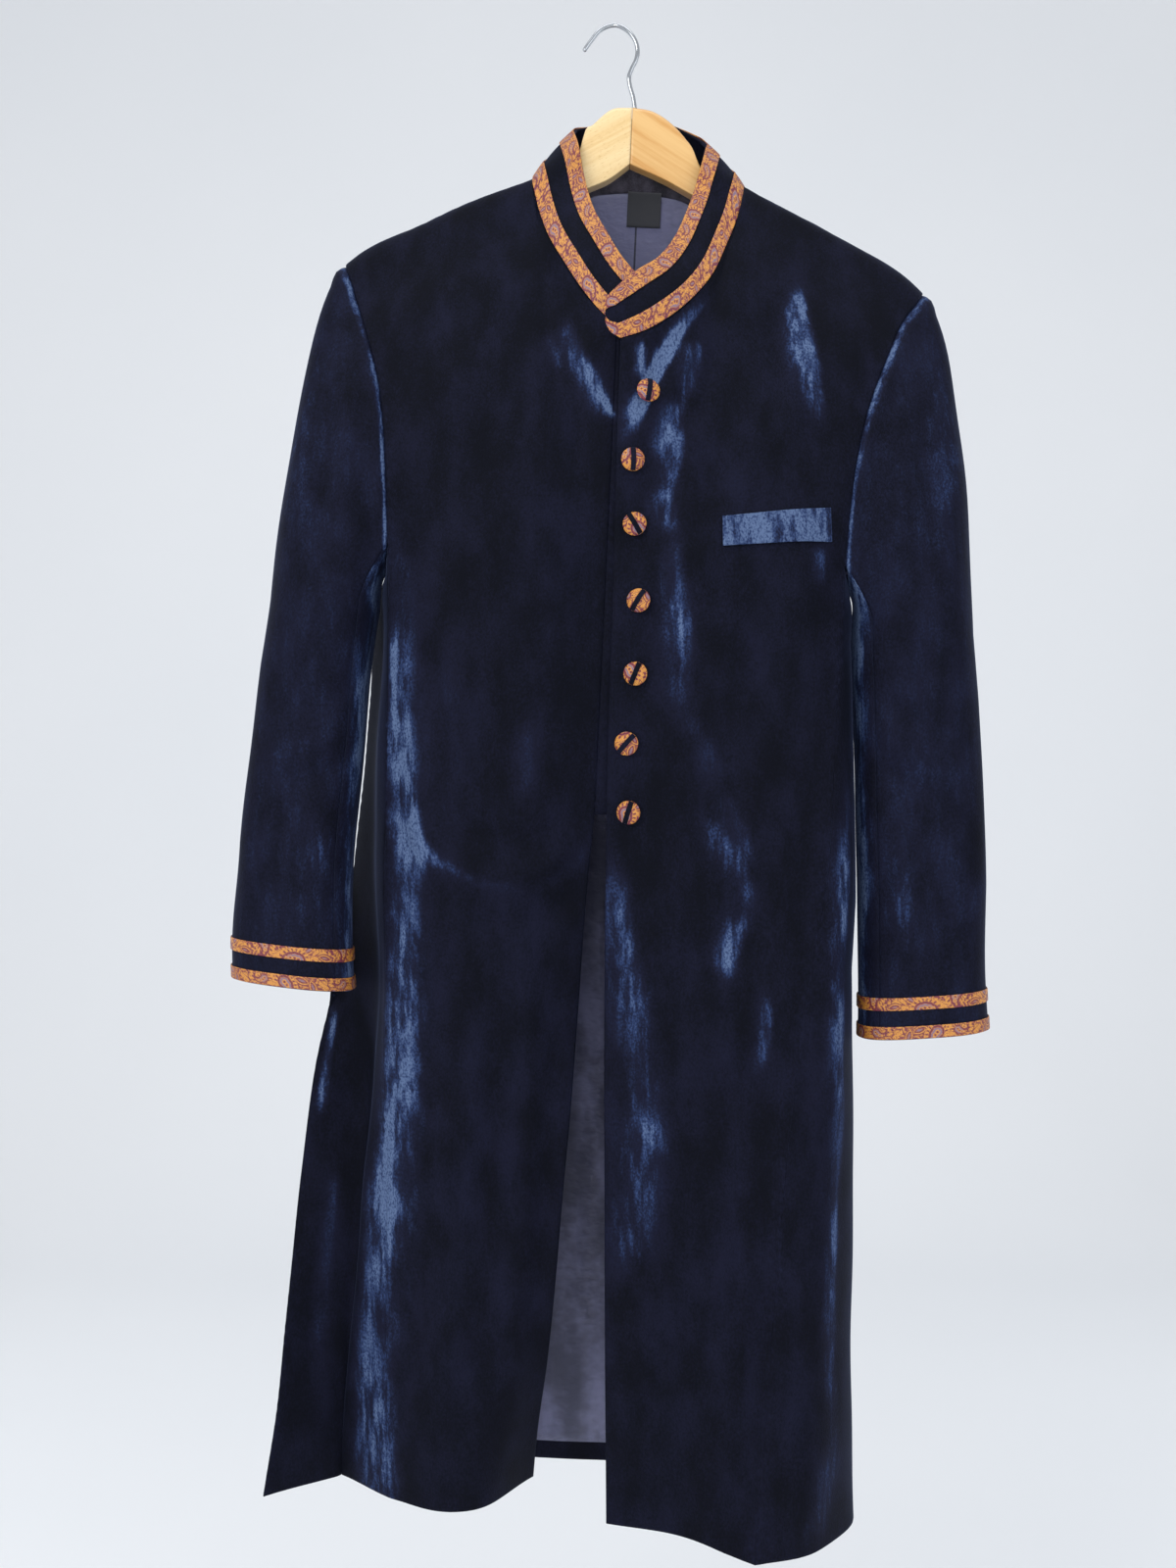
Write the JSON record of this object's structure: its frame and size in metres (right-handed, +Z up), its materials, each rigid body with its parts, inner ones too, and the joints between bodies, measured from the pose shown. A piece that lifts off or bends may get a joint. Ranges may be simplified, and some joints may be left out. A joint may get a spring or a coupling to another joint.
{
  "type": "sherwani coat on a hanger",
  "caption": "Knee-length velvet sherwani coat with a banded stand collar and cuffs, buttoned front and side slits, hanging from a wooden hanger with a wire hook.",
  "frame": {"origin": "top of the hook's inner curve, where it rests on a nail or rail", "axes": "+Z up, +Y from the coat's front to its back, +X towards the wearer's left"},
  "size_m": [0.5991, 0.1565, 1.2007],
  "materials": {
    "navy_silk_velvet": "piled silk velvet, near-black navy with a blue-grey nap sheen",
    "gold_maroon_brocade": "woven brocade ribbon, small gold scroll and flower figure on maroon and mauve",
    "charcoal_satin_lining": "smooth charcoal satin lining",
    "black_woven_label": "bare woven black label",
    "clear_varnished_pine": "clear varnished pine, straight grain",
    "chromed_steel_wire": "bright chromed steel wire"
  },
  "bodies": {
    "root": {"front_left": "navy_silk_velvet", "front_right": "navy_silk_velvet", "side_left": "navy_silk_velvet", "side_right": "navy_silk_velvet", "back": "navy_silk_velvet", "button_stand": "navy_silk_velvet", "top_sleeve_left": "navy_silk_velvet", "top_sleeve_right": "navy_silk_velvet", "under_sleeve_left": "navy_silk_velvet", "under_sleeve_right": "navy_silk_velvet", "cuff_band_lower_left": "gold_maroon_brocade", "cuff_band_lower_right": "gold_maroon_brocade", "cuff_band_upper_left": "gold_maroon_brocade", "cuff_band_upper_right": "gold_maroon_brocade", "collar_left": "navy_silk_velvet", "collar_right": "navy_silk_velvet", "collar_band_lower_left": "gold_maroon_brocade", "collar_band_lower_right": "gold_maroon_brocade", "collar_band_upper_left": "gold_maroon_brocade", "collar_band_upper_right": "gold_maroon_brocade", "neck_facing": "navy_silk_velvet", "back_lining": "charcoal_satin_lining", "label": "black_woven_label", "breast_welt": "navy_silk_velvet", "button_1": "gold_maroon_brocade", "button_2": "gold_maroon_brocade", "button_3": "gold_maroon_brocade", "button_4": "gold_maroon_brocade", "button_5": "gold_maroon_brocade", "button_6": "gold_maroon_brocade", "button_7": "gold_maroon_brocade", "button_strip_1": "navy_silk_velvet", "button_strip_2": "navy_silk_velvet", "button_strip_3": "navy_silk_velvet", "button_strip_4": "navy_silk_velvet", "button_strip_5": "navy_silk_velvet", "button_strip_6": "navy_silk_velvet", "button_strip_7": "navy_silk_velvet", "hanger_left": "clear_varnished_pine", "hanger_right": "clear_varnished_pine", "hook": "chromed_steel_wire"}
  },
  "joints": []
}
